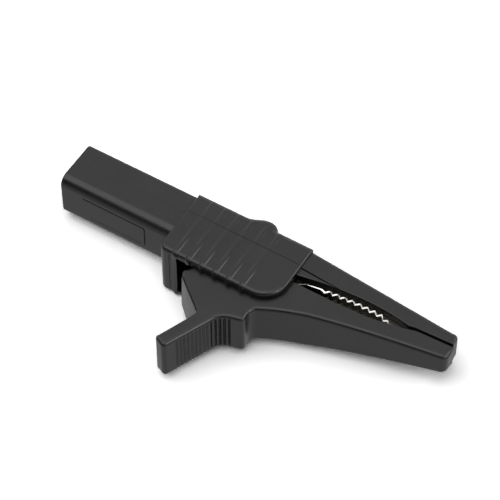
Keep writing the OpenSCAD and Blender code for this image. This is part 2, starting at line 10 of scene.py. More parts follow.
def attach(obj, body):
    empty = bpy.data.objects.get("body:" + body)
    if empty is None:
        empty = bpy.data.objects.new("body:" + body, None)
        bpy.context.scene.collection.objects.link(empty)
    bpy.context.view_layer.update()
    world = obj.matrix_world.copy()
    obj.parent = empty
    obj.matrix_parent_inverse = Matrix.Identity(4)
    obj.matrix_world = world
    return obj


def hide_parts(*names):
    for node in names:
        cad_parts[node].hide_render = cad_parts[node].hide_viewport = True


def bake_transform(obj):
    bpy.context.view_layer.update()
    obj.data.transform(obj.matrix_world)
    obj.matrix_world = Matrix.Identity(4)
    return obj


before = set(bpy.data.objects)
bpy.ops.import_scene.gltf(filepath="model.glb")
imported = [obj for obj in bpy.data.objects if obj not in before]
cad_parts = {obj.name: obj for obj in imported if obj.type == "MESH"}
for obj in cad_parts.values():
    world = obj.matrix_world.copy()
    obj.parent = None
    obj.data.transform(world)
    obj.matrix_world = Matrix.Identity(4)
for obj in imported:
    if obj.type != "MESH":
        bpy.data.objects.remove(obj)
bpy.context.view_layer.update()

scene = bpy.context.scene

# All shapes are worked out in millimetres from the handle's rear face, then set into the frame,
# whose origin is the mouth of the plug socket.
MM = 0.001
SOCKET_RECESS = 2.6

# Handle tube, with the radii of its long edges on the back, and below and above on the trigger side
TUBE_HALF = 7.25
TUBE_LEN = 35.6
TUBE_BACK_R = 1.3
TUBE_FRONT_R = 2.2
TUBE_TOP_R = 3.0
RIM_R = 0.5
RIM_FACE = 1.2

# Bore of the tube, and the liner and socket in it
BORE_R = 5.6
BORE_LEAD = 0.3
COLLAR_R = 6.2
COLLAR_X = 31.5
COLLAR_END = 33.7
FIT = 0.1
RECESS_R = 4.3
RECESS_END = 30.4
SOCKET_R = 2.8
SOCKET_BORE_R = 2.0
SOCKET_BORE_END = 23.6
NECK_R = 2.4
STUD_R = 1.5
STUD_END = 38.55
STUD_CHAMFER = 0.4
GUARD_X = 1.2
GUARD_BORE_R = 2.35

# Saddle, heel and cheeks
SADDLE_HALF = 9.1
CHEEK_IN = 7.2
CHEEK_LOW = -13.4
CHEEK_EDGE_R = 1.15
CHEEK_FRONT_R = 7.2
HEEL_X = 41.2
HEEL_R = 2.0
FRONT_X = 71.1
BACK_Y = 7.6
BACK_R = 2.0
END_EDGE_R = 0.7

# Ribs across the saddle
RIB_FIRST = 40.7
RIB_PITCH = 4.1
RIB_COUNT = 6
RIB_H = 0.4
RIB_REACH = 0.95
RIB_FLANK = 0.65

# Finger stop on the saddle's back
HUMP_X = 56.8
HUMP_R = 3.2
HUMP_H = 2.0
RAMP_LEN = 7.0

# Jaws
TIP_X = 115.6
MOVING_TIP_X = 116.1
JAW_LEN = TIP_X - FRONT_X
JAW_ROOT = FRONT_X - 5
FIXED_HALF = 8.1
TIP_HALF = 4.0
TRIGGER_HALF = 7.0
MOVING_TIP_HALF = 3.6
CHANNEL_HALF = 4.95
CHANNEL_TIP_HALF = 2.5
JAW_WALL = 2.0
TIP_WALL = 1.9
CHANNEL_END = TIP_X - TIP_WALL
JAW_BACK_ROOT = 7.1
JAW_BACK_TIP = 6.05
JAW_BACK_R = 1.5
BACK_SLOPE = math.atan((JAW_BACK_TIP - JAW_BACK_ROOT) / JAW_LEN)
JOINT_Y = 0.6
JAW_EDGE_Y = 0.8
MOUTH_START = FRONT_X + 12
MOUTH_END = TIP_X - 10.1
CLOSE_Y = 2.2
CLOSE_SLOPE = 0.104
LIP_GAP = 0.45
LIP_R = 0.4

# Pivot, contacts and the stakes that hold them
PIVOT = np.array([64.0, -6.2])
PIN_R = 1.5
PIN_PLAY = 0.05
BOSS_R = 6.4
EAR_R = 4.4
SHEET = 0.9
SHEET_R = 0.1
SEAT_GAP = 0.1
FIXED_EAR_OUT = 4.75
FIXED_TIP_OUT = 2.3
MOVING_EAR_OUT = 3.45
MOVING_TIP_OUT = 1.1
CONTACT_END = CHANNEL_END - SEAT_GAP
WEB_BEND = FRONT_X - 4
TAB_X = 33.65
TAB_HALF = 3.6
PRESS_GAP = 0.02
STAKE_R = 0.9
STAKE_HEAD_R = 1.4
STAKE_DOME = 0.5
STAKE_X = FRONT_X + JAW_LEN * np.array([0.2, 0.55])
MOVING_STAKE_PLACES = np.array([0.22, 0.5])

# Teeth: their row is an arch round its crest that dips into the moving jaw near the tip
FIRST_TOOTH = 77.95
TOOTH_PITCH = 2.14
TOOTH_DEPTH = 1.05
TOOTH_COUNT = 16
TOOTH_R = 0.08
TOOTH_GAP = 0.8
ROW_TOP = 0.36
ROW_BEND = 0.0068
ROW_CREST = 92.0
ROW_LEAD = 4.0
ARCH_END = ROW_CREST + 6
DIP_START = ROW_CREST + 3
DIP_SLOPE = 0.3
DIP_DEPTH = 1.3
DIP_END = ROW_CREST + 10
DIP_RISE = 0.08
BEVEL_DEPTH = 0.26
BEVEL_RISE = 0.38

# Spring
WIRE_R = 0.45
COIL_R = 3.05
COIL_HALF = 1.95
COIL_TURNS = 3

# How far a cutting tool reaches past what it cuts
PAST = 20.0
FAR = 60.0

# The frame's axes along the length, width and thickness of a plate drawn on the flank or on the back
FLANK = (0, 1, 2)
BACK = (0, 2, 1)


# Outlines

def unit(v):
    """Vectors brought to length one."""
    return v / np.maximum(np.linalg.norm(v, axis=-1, keepdims=True), 1e-9)


def nearest(points, targets, parts=40):
    """Distance from each point to the nearest target, worked out in parts to spare memory."""
    return np.concatenate([np.linalg.norm(part[:, None] - targets[None], axis=2).min(1)
                           for part in np.array_split(points, parts)])


def arc(centre, r, start, end, n=24):
    """Points on a circle from one angle to another, in degrees."""
    w = np.radians(np.linspace(start, end, n))
    return np.asarray(centre, float) + r * np.c_[np.cos(w), np.sin(w)]


def bezier(p, n=60):
    """Cubic curve: the four points weighted by the Bernstein polynomials."""
    p, t = np.asarray(p, float), np.linspace(0, 1, n)[:, None]
    s = 1 - t
    return s**3 * p[0] + 3 * s * s * t * p[1] + 3 * s * t * t * p[2] + t**3 * p[3]


def rounded(corners, n=14):
    """A closed outline from corners (x, y) or (x, y, r): the arc of radius r that touches both sides
    of the corner takes its place."""
    c = np.array([tuple(k) + (0.0,) * (3 - len(k)) for k in corners], float)
    at, r = c[:, :2], c[:, 2:]
    u, v = unit(np.roll(at, 1, 0) - at), unit(np.roll(at, -1, 0) - at)
    half = np.arccos(np.clip((u * v).sum(1, keepdims=True), -1, 1)) / 2
    centre = at + unit(u + v) * r / np.sin(half)
    p, q = at + u * r / np.tan(half) - centre, at + v * r / np.tan(half) - centre
    start = np.arctan2(p[:, 1], p[:, 0])
    turn = np.arctan2(p[:, 0] * q[:, 1] - p[:, 1] * q[:, 0], (p * q).sum(1))
    w = start[:, None] + turn[:, None] * np.linspace(0, 1, n)
    loop = (centre[:, None] + r[:, None] * np.stack([np.cos(w), np.sin(w)], 2)).reshape(-1, 2)
    return loop[np.linalg.norm(loop - np.roll(loop, 1, 0), axis=1) > 1e-4]


def with_radius(points, r):
    """Points as corners of one radius."""
    return [(*p, r) for p in points]


def rectangle(x0, x1, y0, y1):
    return [(x0, y0), (x1, y0), (x1, y1), (x0, y1)]


def both_sides(side, n=5):
    """A closed outline from the corners of one side and their mirror images."""
    return rounded(side + [(p[0], -p[1]) + p[2:] for p in side[::-1]], n)


def dense(loop, step):
    """The closed outline with points added on every side that is longer than step."""
    ends = np.vstack([loop, loop[:1]])
    length = np.linalg.norm(np.diff(ends, axis=0), axis=1)
    at = np.r_[0, np.cumsum(length)]
    count = np.ceil(length / step).astype(int)
    index = np.arange(count.sum()) - np.repeat(np.cumsum(count) - count, count)
    s = np.repeat(at[:-1], count) + index * np.repeat(length / count, count)
    return np.c_[np.interp(s, at, ends[:, 0]), np.interp(s, at, ends[:, 1])]


def counter_clockwise(loop):
    """The outline turned round if its signed area is negative."""
    x, y = loop.T
    return loop if (x * np.roll(y, -1) - y * np.roll(x, -1)).sum() > 0 else loop[::-1]


def taper(root, tip, start=FRONT_X):
    """A half width that is constant to a place along the jaw and then falls evenly to the tip."""
    return lambda x: root + (tip - root) * np.clip((x - start) / (TIP_X - start), 0, 1.2)


# Solids

def new_object(name, data):
    obj = bpy.data.objects.new(name, data)
    scene.collection.objects.link(obj)
    return obj


def solid(name, verts, faces):
    """A mesh object from vertices in mm and faces; doubled points at seams and poles are merged."""
    mesh = bpy.data.meshes.new(name)
    mesh.from_pydata(np.asarray(verts, float).tolist(), [], faces)
    bm = bmesh.new()
    bm.from_mesh(mesh)
    bmesh.ops.remove_doubles(bm, verts=bm.verts, dist=1e-5)
    bmesh.ops.dissolve_degenerate(bm, edges=bm.edges, dist=1e-6)
    bmesh.ops.recalc_face_normals(bm, faces=bm.faces)
    bm.to_mesh(mesh)
    bm.free()
    return new_object(name, mesh)


def grid_faces(rows, columns, close_rows=False):
    """Quads of a grid whose columns close into a ring, and whose rows may too."""
    j, i = np.meshgrid(np.arange(rows if close_rows else rows - 1), np.arange(columns), indexing="ij")
    k, m = (j + 1) % rows, (i + 1) % columns
    corners = [j * columns + i, k * columns + i, k * columns + m, j * columns + m]
    return np.stack(corners, -1).reshape(-1, 4)


def capped_faces(rows, columns):
    """The quads of a tube of rings, with one face over each end."""
    ends = [list(range(columns)), list(range((rows - 1) * columns, rows * columns))]
    return grid_faces(rows, columns).tolist() + ends


def inside(points, loop):
    """Which points lie within a loop: a ray to the right crosses it an odd number of times."""
    x, y = points[:, None, 0], points[:, None, 1]
    a, b = loop[None], np.roll(loop, -1, 0)[None]
    spans = (a[..., 1] > y) != (b[..., 1] > y)
    rise = np.where(a[..., 1] == b[..., 1], 1, b[..., 1] - a[..., 1])
    cross = a[..., 0] + (y - a[..., 1]) * (b[..., 0] - a[..., 0]) / rise
    return (spans & (x < cross)).sum(1) % 2 == 1


def edge_radius(loop, out, ahead, behind, edge_r):
    """Edge radius along a plate's outline: as asked for, within a share of a tight corner's own radius, and
    changing at no more than an even slope."""
    tight_share, slope, least = 0.8, 0.4, 0.02
    r = edge_r(loop, out) if callable(edge_r) else np.full(len(loop), edge_r)
    side = np.linalg.norm(np.roll(loop, -1, 0) - loop, axis=1)
    s = np.r_[0, np.cumsum(side)[:-1]]
    bend = behind[:, 0] * ahead[:, 1] - behind[:, 1] * ahead[:, 0]
    limit = tight_share * (side + np.roll(side, 1)) / 2 / np.maximum(bend, 1e-6)
    gap = np.abs(s[:, None] - s[None])
    gap = np.minimum(gap, side.sum() - gap)
    return np.maximum((np.minimum(r, limit)[None] + slope * gap).min(1), least)[None, :, None]


def plate(name, loop, half, edge_r=0.0, mid=0.0, relief=None, grid=None, turn=6, heights=(), axes=FLANK):
    """A moulded plate. Its edge profile is carried round the outline: up the wall, round a quarter circle
    of radius edge_r, on to the face at height mid + half. Both may change along the plate, and so may the
    radius. heights gives the wall more rings, as shares of its height. relief(points, normals) gives the
    skin its ribs, grooves and long round edges. grid gives the x and y lines at which the faces have
    points. axes says which of the frame's axes the plate's length, width and thickness lie along."""
    loop = counter_clockwise(np.asarray(loop, float))
    count = len(loop)
    varying = lambda value: value if callable(value) else lambda x: np.full_like(x, value)
    half_at, mid_at = varying(half), varying(mid)
    ahead, behind = unit(np.roll(loop, -1, 0) - loop), unit(loop - np.roll(loop, 1, 0))
    along = unit(ahead + behind)
    out = np.c_[along[:, 1], -along[:, 0]]
    if callable(edge_r) or edge_r > 0:
        r, w = edge_radius(loop, out, ahead, behind, edge_r), np.linspace(np.pi / 2, 0, turn + 1)
    else:
        r, w = np.zeros((1, count, 1)), np.zeros(1)
    w = w[:, None, None]

    # Rings of the edge, from the upper face down the wall to the lower face
    flat = loop[None] - out[None] * r * (1 - np.cos(w))
    top = half_at(flat[..., 0]) - (r * (1 - np.sin(w)))[..., 0]
    walls = np.array(heights, float)[:, None] * top[-1][None]
    level = np.concatenate([top, walls, -top[::-1]])
    flat = np.concatenate([flat, np.repeat(loop[None], len(walls), 0), flat[::-1]])
    lift = np.concatenate([np.sin(w), np.zeros((len(walls), 1, 1)), -np.sin(w[::-1])])
    lift = lift + np.zeros((1, count, 1))
    lean = np.sqrt(1 - lift**2) * out[None]
    points = np.concatenate([flat, (level + mid_at(flat[..., 0]))[..., None]], 2).reshape(-1, 3)
    normals = np.concatenate([lean, lift], 2).reshape(-1, 3)
    rows = len(level)

    # Both faces, as one triangulation of the border and the grid's points within it
    border = flat[0]
    inner = np.zeros((0, 2))
    if grid is not None:
        border_gap = 0.12
        gx, gy = np.meshgrid(*grid, indexing="ij")
        inner = np.c_[gx.ravel(), gy.ravel()]
        inner = inner[inside(inner, border)]
        inner = inner[nearest(inner, border) > border_gap]
    flat_points = np.vstack([border, inner])
    ring = [(i, (i + 1) % count) for i in range(count)]
    found = delaunay_2d_cdt([Vector(p) for p in flat_points], ring, [list(range(count))], 1, 1e-6)
    source = np.array([k[0] for k in found[3]])
    cap = source[np.array(found[2])]
    height = half_at(inner[:, 0])
    upper = np.column_stack([inner, mid_at(inner[:, 0]) + height])
    lower = np.column_stack([inner, mid_at(inner[:, 0]) - height])
    first = rows * count
    cap_up = np.where(cap < count, cap, first + cap - count)
    cap_low = np.where(cap < count, (rows - 1) * count + cap, first + len(inner) + cap - count)[:, ::-1]

    points = np.vstack([points, upper, lower])
    face_up = np.tile([0.0, 0.0, 1.0], (len(inner), 1))
    normals = np.vstack([normals, face_up, -face_up])
    if relief is not None:
        points = relief(points, normals)
    faces = grid_faces(rows, count).tolist() + cap_up.tolist() + cap_low.tolist()
    placed = np.zeros_like(points)
    placed[:, list(axes)] = points
    return solid(name, placed, faces)


def prism(name, loop, half, axes=FLANK):
    """A plate with sharp edges, as a tool that cuts or joins."""
    return plate(name, loop, half, axes=axes)


def lathe(name, profile, sides=96, centre=(0.0, 0.0), axis=0):
    """A turned piece: the closed profile of (place along the axis, radius) carried round the axis."""
    profile = np.asarray(profile, float)
    w = np.linspace(0, 2 * np.pi, sides, endpoint=False)
    x = np.repeat(profile[:, :1], sides, 1)
    ring = [profile[:, 1:] * np.cos(w) + centre[0], profile[:, 1:] * np.sin(w) + centre[1]]
    verts = np.stack([x] + ring if axis == 0 else ring + [x], 2).reshape(-1, 3)
    return solid(name, verts, grid_faces(len(profile), sides, True).tolist())


def drill(name, start, end, r, sides=48, centre=(0.0, 0.0), axis=0):
    """A plain cylinder that makes a round hole."""
    return lathe(name, [(start, 0), (start, r), (end, r), (end, 0)], sides, centre, axis)


def pin_hole(play, sides=48):
    return drill("pin_hole", -PAST, PAST, PIN_R + play, sides, PIVOT, 2)


def move_vertices(mesh, moved):
    """Puts each vertex where moved() sends it, all of them as one array."""
    co = np.empty(3 * len(mesh.vertices), np.float32)
    mesh.vertices.foreach_get("co", co)
    mesh.vertices.foreach_set("co", moved(co.reshape(-1, 3).astype(float)).astype(np.float32).ravel())


def tilted(obj, base, angle):
    """A turned piece with its axis swung from X by an angle about Z, set on its base."""
    c, s = np.cos(angle), np.sin(angle)
    move_vertices(obj.data, lambda p: p @ np.array([[c, s, 0], [-s, c, 0], [0, 0, 1]]) + (*base, 0))
    obj.data.update()
    return obj


def carve(obj, *steps):
    """Joins, cuts or crosses the piece with each tool in turn, and takes the tools away."""
    for operation, tool in steps:
        step = obj.modifiers.new(operation, "BOOLEAN")
        step.operation, step.object, step.solver = operation, tool, "MANIFOLD"
    bpy.context.view_layer.update()
    mesh = bpy.data.meshes.new_from_object(obj.evaluated_get(bpy.context.evaluated_depsgraph_get()))
    obj.modifiers.clear()
    obj.data = mesh
    for _, tool in steps:
        bpy.data.objects.remove(tool)
    return obj


def join(tools):
    return [("UNION", tool) for tool in tools]


def cut(tools):
    return [("DIFFERENCE", tool) for tool in tools]


# Body: tube, saddle and fixed jaw

def tube_solid():
    """Handle tube: a square with its own radius at each corner, carried along X and drawn in on a quarter
    circle at the rim."""
    share = 0.3
    w = np.radians(np.linspace(90, 0, 9))
    x = np.r_[0, RIM_R * (1 - np.sin(w)), HEEL_X - 1]
    inset = np.r_[RIM_R + RIM_FACE, RIM_R * (1 - np.cos(w)), 0]
    base = rounded(with_radius(rectangle(-1, 1, -1, 1), share), 17)
    turn = np.sign(base) * np.maximum(np.abs(base) - (1 - share), 0) / share
    front_r = np.where(base[:, 1:] > 0, TUBE_TOP_R, TUBE_FRONT_R)
    corner_r = np.where(base[:, :1] > 0, TUBE_BACK_R, front_r)
    core = np.sign(base) * np.minimum(np.abs(base) / (1 - share), 1) * (TUBE_HALF - corner_r)
    drawn = np.minimum(inset[:, None, None], corner_r - 0.05)
    section = core[None] + turn[None] * (corner_r - drawn)
    rows, count = len(x), len(base)
    along = np.repeat(x, count).reshape(rows, count, 1)
    points = np.concatenate([along, section], 2).reshape(-1, 3)
    return solid("tube", points, capped_faces(rows, count))


def panel_cut():
    """The pocket on the tube's trigger side, less the pad in it: a gap shows along the pad's top and front,
    and a faint line below."""
    x0, x1, half, depth, r = 7.0, TUBE_LEN - 8.4, 3.6, 0.25, 0.6
    gap, pad_r, past, thick = 0.4, 0.3, 2.0, 0.6
    line_half, line_depth, line_r = 0.15, 0.05, 0.1

    def box(name, a, b, low, high, deep, corner_r):
        outline = dense(rounded(with_radius(rectangle(a, b, low, high), corner_r), 8), 2.0)
        return plate(name, outline, thick, mid=-TUBE_HALF - thick + deep, axes=BACK)

    pad = box("pad", x0 - past, x1 - gap, -half - past, half - gap, 2 * depth, pad_r)
    foot = box("pad_foot", x0 + 2.5, x1 - 1, -half - line_half, -half + line_half, line_depth, line_r)
    return carve(box("pocket", x0, x1, -half, half, depth, r), ("DIFFERENCE", pad), ("UNION", foot))


def rib_profile(x):
    """Grip ribs across the cheeks: flat-topped rounded bars at an even pitch."""
    off = np.abs((x - RIB_FIRST + RIB_PITCH / 2) % RIB_PITCH - RIB_PITCH / 2)
    bar = np.clip((RIB_REACH - off) / RIB_FLANK, 0, 1)
    bar = bar * bar * (3 - 2 * bar)
    last = RIB_FIRST + RIB_PITCH * (RIB_COUNT - 1)
    return bar * (x > RIB_FIRST - RIB_REACH) * (x < last + RIB_REACH)


def back_line():
    """The saddle's back from front to rear: a short foot, a round crown on the finger stop, and a ramp that
    eases into the back."""
    foot_len, foot_r, ease = 3, 0.7, 3
    top, ramp_end = BACK_Y + HUMP_H, HUMP_X - RAMP_LEN
    crown = arc((HUMP_X, top - HUMP_R), HUMP_R, 30, 90)
    ramp = bezier([(HUMP_X, top), (HUMP_X - ease, top), (ramp_end + ease, BACK_Y), (ramp_end, BACK_Y)])
    return [(HUMP_X + foot_len, BACK_Y, foot_r), *crown, *ramp[1:]]


def saddle_relief(points, normals):
    """Ribs that are full at the cheek's lower edge, lower half way up, and run out on the back and on the
    inner side. Then the back's long edges are drawn in on a circle of radius BACK_R."""
    x, y, z = points.T
    inner_side = 8.2
    level = np.interp(y, [-13, -9, -4, 1, 4, 6.4, 7.4], [1, 0.9, 0.4, 0.4, 0.75, 0.5, 0])
    under = np.clip(-normals[:, 1], 0, 1) * np.clip(inner_side - np.abs(z), 0, 1)
    rib = RIB_H * rib_profile(x) * level * (1 - under)
    points = points + normals * rib[:, None]
    past, step = 9, 0.1
    start, end = TUBE_LEN - past, FRONT_X + past
    line = dense(rounded([(start, 0), (end, 0), (end, BACK_Y), *back_line(), (start, BACK_Y)]), step)
    line = line[line[:, 1] > BACK_Y - 0.01]
    depth = np.minimum(nearest(points[:, :2], line), BACK_R)
    limit = SADDLE_HALF + rib - BACK_R + np.sqrt(BACK_R**2 - (BACK_R - depth) ** 2)
    points[:, 2] = np.clip(points[:, 2], -limit, limit)
    return points


def saddle_edge(points, out):
    """Edge radius round the saddle: larger along the cheeks than at the ends."""
    return np.where(out[:, 1] < -0.3, CHEEK_EDGE_R, END_EDGE_R)


def saddle_solid():
    """Saddle: a plate with the outline of the cheeks and the back, and grid lines close beside each rib."""
    loop = rounded([(TUBE_LEN, CHEEK_LOW, HEEL_R), (FRONT_X, CHEEK_LOW, CHEEK_FRONT_R),
                    (FRONT_X, BACK_Y, 1.2), *back_line(), (TUBE_LEN, BACK_Y, 0.7)], 24)
    beside = np.array([0.3, 0.5, 0.65, 0.8, RIB_REACH, 1.4])
    across = np.r_[-beside[::-1], 0, beside]
    ribs = (RIB_FIRST + RIB_PITCH * np.arange(RIB_COUNT)[:, None] + across).ravel()
    grid_x = np.r_[TUBE_LEN + np.array([1.0, 1.8, 2.4]), ribs, np.arange(64.5, FRONT_X, 1.0)]
    grid_y = np.r_[np.arange(CHEEK_LOW + 0.8, 5, 0.9), np.arange(5.2, BACK_Y + HUMP_H - 0.1, 0.25)]
    return plate("saddle", dense(loop, 0.16), SADDLE_HALF, saddle_edge, relief=saddle_relief,
                 grid=(grid_x, grid_y), turn=8, heights=(0.6, -0.6))


def jaw_back(x):
    """Height of the fixed jaw's back, a straight line from root to tip."""
    return JAW_BACK_ROOT + (JAW_BACK_TIP - JAW_BACK_ROOT) * (x - FRONT_X) / JAW_LEN


def closure(x):
    """Height at which the two jaws' lips close, a straight line."""
    return CLOSE_Y + CLOSE_SLOPE * (x - TIP_X)


def jaw_edge(points, out):
    """Edge radius of the fixed jaw: round along the back, crisp along the mouth and beside the tongues."""
    tip_r, mouth_r, tongue_r = 0.8, 0.3, 0.1
    mouth = np.where(points[:, 0] > MOUTH_START, mouth_r, tongue_r)
    return np.where(out[:, 1] > 0.3, JAW_BACK_R, np.where(out[:, 0] > 0.7, tip_r, mouth))


def jaw_solid():
    """Fixed jaw: a plate that narrows evenly to the tip, over a curved mouth with a beak before the lip."""
    beak = (MOUTH_END - 2.3, closure(MOUTH_END) + LIP_GAP - 0.55)
    mouth = bezier([(MOUTH_START, JOINT_Y + 0.02), (MOUTH_START + 6.4, JAW_EDGE_Y + 0.6),
                    (beak[0] - 8.7, JAW_EDGE_Y + 1.4), beak])
    lip = lambda x: (x, closure(x) + LIP_GAP)
    loop = rounded([(JAW_ROOT, JAW_EDGE_Y), *mouth, lip(MOUTH_END - 0.7), (*lip(TIP_X), LIP_R),
                    (TIP_X, JAW_BACK_TIP, JAW_BACK_R), (JAW_ROOT, jaw_back(JAW_ROOT))])
    half = lambda x: FIXED_HALF + (TIP_HALF - FIXED_HALF) * (x - FRONT_X) / JAW_LEN
    return plate("fixed_jaw", dense(loop, 0.4), half, jaw_edge, turn=8)


def channel_loop(x0, x1):
    """The jaws' channel seen from the back: even beside the pivot, then narrowing to the tip."""
    end = taper(CHANNEL_HALF, CHANNEL_TIP_HALF)(x1)
    return both_sides([(x0, -CHANNEL_HALF), (FRONT_X, -CHANNEL_HALF), (x1, -end)])


def tongues():
    """Two tongues beside the jaw's root: a plate between a rising curve and the joint line, less the channel.
    Its edge gets finer as it gets thinner."""
    x0, thinnest, step_in = FRONT_X - 1.7, 0.12, 0.2
    edge = bezier([(x0, -2.2), (FRONT_X + 4, -1.0), (MOUTH_START - 4, 0.4), (MOUTH_START, JOINT_Y)])
    edge = edge[edge[:, 1] < JOINT_Y - thinnest]
    loop = dense(np.vstack([edge, [(edge[-1, 0], JOINT_Y), (x0, JOINT_Y)]]), 0.4)

    def thin(points, out):
        height = JOINT_Y - np.interp(points[:, 0], edge[:, 0], edge[:, 1])
        return np.clip(0.3 * height, 0.02, 0.25)

    flank = taper(FIXED_HALF - step_in, TIP_HALF - step_in)
    half = lambda x: np.where(x < FRONT_X, SADDLE_HALF - 0.7, flank(x))
    wide, narrow = CHANNEL_HALF + 0.2, CHANNEL_HALF - 0.7
    start, end = x0 - 1, MOUTH_START + 1
    gap = prism("tongue_gap", both_sides([(start, -wide), (end, -narrow)]), 30.0, BACK)
    return carve(plate("tongues", loop, half, thin, turn=4), ("DIFFERENCE", gap))


def half_space(side):
    """A block above or below the joint line, which is all but closed on the tube and opens to a hairline
    towards the saddle's front."""
    x = np.array([-5.0, 30, 46, 70, 72, 130])
    gap = np.array([0.01, 0.015, 0.05, 0.06, 0.035, 0.035])
    edge = np.c_[x, JOINT_Y + side * gap]
    return prism("half_space", np.vstack([edge, [(x[-1], side * FAR), (x[0], side * FAR)]]), 40.0)


def stake(base, slope, side):
    """A moulded stake, turned: a stem through the contact's web and a domed head."""
    head, sunk = SEAT_GAP + SHEET + 0.05, -1.0
    w = np.linspace(0, np.pi / 2, 8)
    dome = np.c_[head + STAKE_DOME * np.sin(w), STAKE_HEAD_R * np.cos(w)]
    profile = np.vstack([[(sunk, 0.0), (sunk, STAKE_R), (head, STAKE_R)], dome])
    return tilted(lathe("stake", profile, 40), base, slope + side * np.pi / 2)


def stake_hole(base, slope):
    hole = drill("stake_hole", -3, 3, STAKE_R + PRESS_GAP, 40)
    return tilted(hole, base, slope + np.pi / 2)


def body_tools():
    """What is taken out of the tube and saddle, from the stepped bore to the panel's gap."""
    roof, heel_in, pocket_r = BACK_Y - JAW_WALL, HEEL_X + 1, 0.8
    bore = lathe("bore", [(-1, 0), (-1, BORE_R + BORE_LEAD), (0, BORE_R + BORE_LEAD), (BORE_LEAD, BORE_R),
                          (COLLAR_X, BORE_R), (COLLAR_X, COLLAR_R), (COLLAR_END, COLLAR_R), (COLLAR_END, 0)])
    chamber_half = 4.8
    chamber = prism("chamber", rectangle(COLLAR_END - FIT, heel_in, -chamber_half, roof), chamber_half)
    cheek_gap = prism("cheek_gap", rectangle(HEEL_X, FRONT_X + 1, -40, roof), CHEEK_IN)
    pocket = prism("heel_pocket", rounded([(37.6, -11.4, pocket_r), (heel_in, -11.4), (heel_in, -6.8),
                                           (37.6, -6.8, pocket_r)]), CHEEK_IN - 1)
    groove_x, groove_floor, groove_half = 38.9, CHEEK_LOW + 0.3, 7.6
    groove = prism("heel_groove", [(groove_x - 0.3, -15), (groove_x + 0.3, -15),
                                   (groove_x + 0.05, groove_floor), (groove_x - 0.05, groove_floor)],
                   groove_half)
    return [bore, chamber, cheek_gap, pocket, groove, panel_cut()]


def body_shells():
    """The two shells: tube, saddle and fixed jaw made as one body, then parted along the joint line."""
    x0 = JAW_ROOT - 1
    depth = prism("channel", [(x0, -40), (CHANNEL_END, -40), (CHANNEL_END, jaw_back(CHANNEL_END) - JAW_WALL),
                              (x0, jaw_back(x0) - JAW_WALL)], PAST)
    width = prism("channel_width", channel_loop(x0, CHANNEL_END), FAR, BACK)
    jaw = carve(jaw_solid(), ("DIFFERENCE", carve(depth, ("INTERSECT", width))))
    body = carve(tube_solid(), ("UNION", saddle_solid()), *cut(body_tools()), ("UNION", jaw))
    stakes = [stake((x, jaw_back(x) - JAW_WALL), BACK_SLOPE, -1) for x in STAKE_X]
    spine = carve(new_object("spine_moulding", body.data.copy()), ("INTERSECT", half_space(1)), *join(stakes))
    cheeks = carve(body, ("INTERSECT", half_space(-1)), ("UNION", tongues()))
    cheeks.name = "cheek_moulding"
    return spine, cheeks


# Trigger and moving jaw

FIN_LEAN = math.radians(23)
FIN_DIR = np.array([-math.sin(FIN_LEAN), -math.cos(FIN_LEAN)])
FIN_SIDE = np.array([math.cos(FIN_LEAN), -math.sin(FIN_LEAN)])
FIN_LEN = 12.4
FIN_THICK = 3.35
FIN_BASE = PIVOT + (-9, -19.8)
FIN_ROOT = PIVOT + (-9, -18.3)
FIN_IN = FIN_BASE + FIN_LEN * FIN_DIR + (-0.5, 0.45)
FIN_OUT = FIN_BASE + FIN_LEN * FIN_DIR + FIN_THICK * FIN_SIDE
SCOOP = PIVOT + (-3.6, -16.5)
SCOOP_R = 5.5
RIDGE = PIVOT + (2.5, -14.8)
STEP = PIVOT + (2.3, -10.4)
REAR_CORNER = PIVOT + (-19.7, -9.6)
REAR_TOP = PIVOT + (-14.7, -1.8)
REAR_ALONG = unit(FIN_ROOT - REAR_CORNER)
REAR_OUT = np.array([REAR_ALONG[1], -REAR_ALONG[0]])
LEDGE = PIVOT + (-16.2, -6.6)
WALL_START = PIVOT + (5, -9.2)
TIP_LOW = np.array([MOVING_TIP_X, -2.05])
NEAR_WALL = np.array([WALL_START, WALL_START + (9, 4.9), TIP_LOW + (-18, -3.8), TIP_LOW])
FLOOR_CURVE = NEAR_WALL + (0, JAW_WALL * 1.1)
GROOVE_PITCH = 1.18
FACE_GROOVES = 9
SCOOP_GROOVES = 5
GROOVE_TOP = 5.9
GROOVE_END = 0.25
GROOVE_DEPTHS = (0.38, 0.5)
GROOVE_REACHES = (0.46, 0.4)


def trigger_loop():
    """Outline of the trigger: mouth, boss, rear, lever with its scoop, and the jaw's near wall to the tip."""
    end_y = closure(MOUTH_END)
    mouth = bezier([(MOUTH_END, end_y), (MOUTH_END - 8, end_y - 3), (MOUTH_START + 4.9, -4.1),
                    (FRONT_X + 0.2, -3.5)])
    near_wall = bezier(NEAR_WALL)
    near_wall = near_wall[near_wall[:, 0] < MOVING_TIP_X - 2]
    lever = [(*REAR_TOP, 1.5), (*REAR_CORNER, 1.5), (*FIN_ROOT, 1.5), (*FIN_IN, 0.9), (*FIN_OUT, 1.2),
             (*SCOOP, SCOOP_R), (*RIDGE, 1.4), (*STEP, 3)]
    boss = arc(PIVOT, BOSS_R, 35, 120)
    return rounded([(MOVING_TIP_X, closure(MOVING_TIP_X), LIP_R), *mouth, *boss, *lever, *near_wall,
                    (*TIP_LOW, 2)], 20)


def groove_centres():
    """Grip grooves: evenly spaced along the lever's outer face, then round the arc of its scoop."""
    face = unit(SCOOP - FIN_OUT)
    reach = np.linalg.norm(SCOOP - FIN_OUT) - 2.6
    straight = FIN_OUT + face * (reach - GROOVE_PITCH * np.arange(1, FACE_GROOVES + 1)[:, None])
    return straight, rounded([FIN_OUT, (*SCOOP, SCOOP_R), RIDGE], SCOOP_GROOVES)[1:-1]


